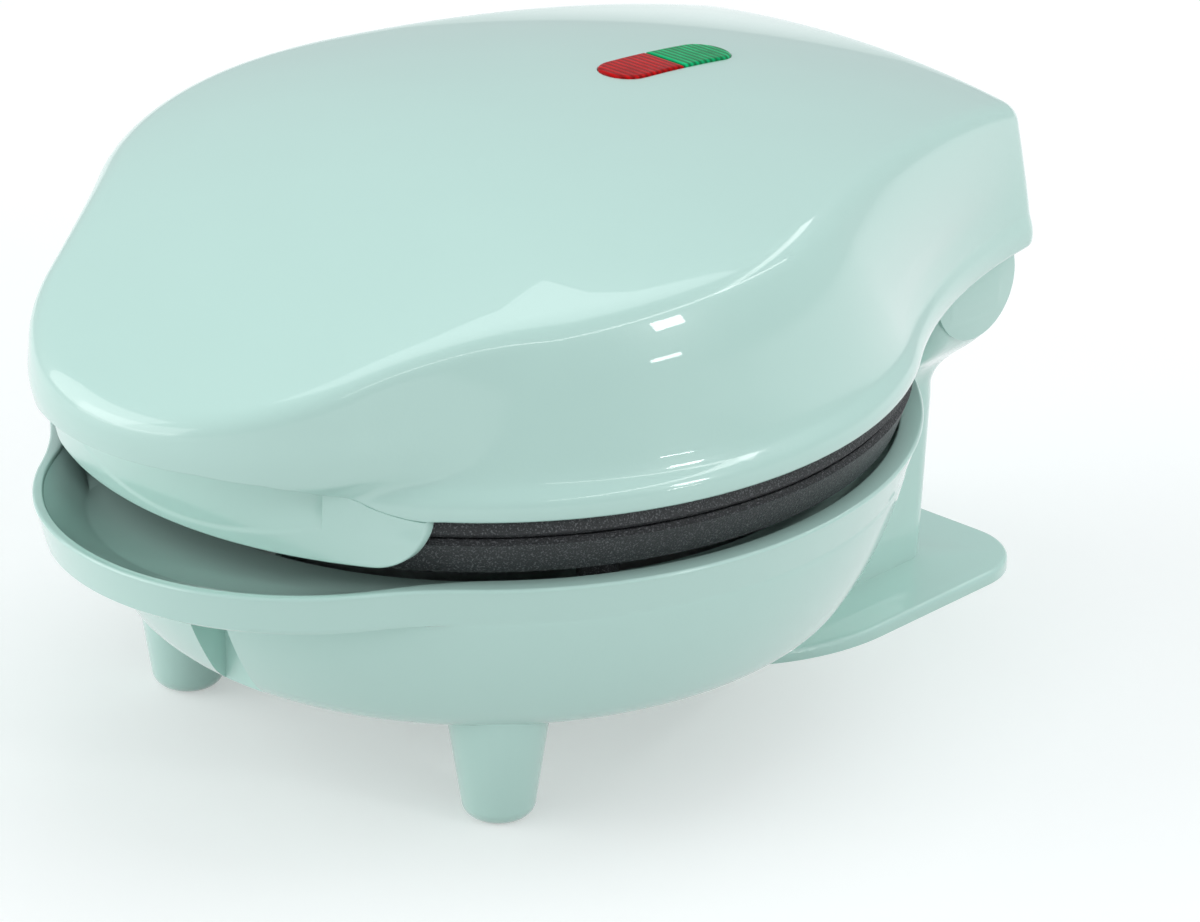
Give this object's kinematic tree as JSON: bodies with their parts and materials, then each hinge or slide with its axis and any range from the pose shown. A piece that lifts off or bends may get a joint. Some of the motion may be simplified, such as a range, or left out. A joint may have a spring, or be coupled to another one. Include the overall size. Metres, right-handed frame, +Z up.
{
  "type": "mini waffle maker",
  "caption": "Round countertop waffle maker with a hinged, crowned lid, hollow front handle, patterned plates and a rear stand.",
  "frame": {"origin": "on the table, under the middle of the closed object's bounding box", "axes": "+Z up, +Y towards the hinge, -Y towards the handle, +X to the right seen from the front"},
  "size_m": [0.1428, 0.1842, 0.1],
  "materials": {
    "mint_plastic": "glossy",
    "plate_coating": "dark non-stick coating",
    "lead_insulation": "woven glass sleeve",
    "screw_steel": "satin",
    "element_sheath": "satin",
    "bright_steel": "satin",
    "pan_aluminium": "mill",
    "thermostat_body": "matt",
    "terminal_plastic": "matt",
    "fuse_sleeve": "matt",
    "gland_rubber": "matt",
    "red_lens": "clear coloured",
    "green_lens": "clear coloured",
    "lamp_glass": "clear",
    "holder_plastic": "matt"
  },
  "bodies": {
    "base": {"base_housing": "mint_plastic", "rear_stand": "mint_plastic", "foot_cover": "mint_plastic", "foot_cover_screws": "screw_steel", "stand_screws": "screw_steel", "cord_gland": "gland_rubber", "hinge_bush_left": "bright_steel", "hinge_bush_right": "bright_steel", "lower_plate": "plate_coating", "lower_plate_screws": "screw_steel", "lower_heating_element": "element_sheath", "lower_element_clamps": "bright_steel", "lower_clamp_screws": "screw_steel", "lower_reflector": "pan_aluminium", "lower_reflector_screw": "screw_steel", "lower_thermostat": "thermostat_body", "lower_thermostat_screws": "screw_steel", "terminal_block": "terminal_plastic", "terminal_screw": "screw_steel", "thermal_fuse": "fuse_sleeve", "fuse_clip": "bright_steel", "base_leads": "lead_insulation", "hinge_leads": "lead_insulation"},
    "lid": {"lid_cover": "mint_plastic", "handle_guard": "mint_plastic", "guard_screws": "screw_steel", "upper_plate": "plate_coating", "upper_plate_screws": "screw_steel", "upper_heating_element": "element_sheath", "upper_element_clamps": "bright_steel", "upper_clamp_screws": "screw_steel", "upper_reflector": "pan_aluminium", "upper_reflector_screw": "screw_steel", "upper_thermostat": "thermostat_body", "upper_thermostat_screws": "screw_steel", "red_lens": "red_lens", "green_lens": "green_lens", "lamp_holder": "holder_plastic", "holder_screws": "screw_steel", "red_lamp": "lamp_glass", "green_lamp": "lamp_glass", "lid_leads": "lead_insulation", "lamp_leads": "lead_insulation"}
  },
  "joints": [
    {"name": "lid_hinge", "type": "hinge", "parent": "base", "child": "lid", "pos_m": [0, 0.0761, 0.0563], "axis": [-1, 0, 0], "range_deg": [0, 100]}
  ]
}
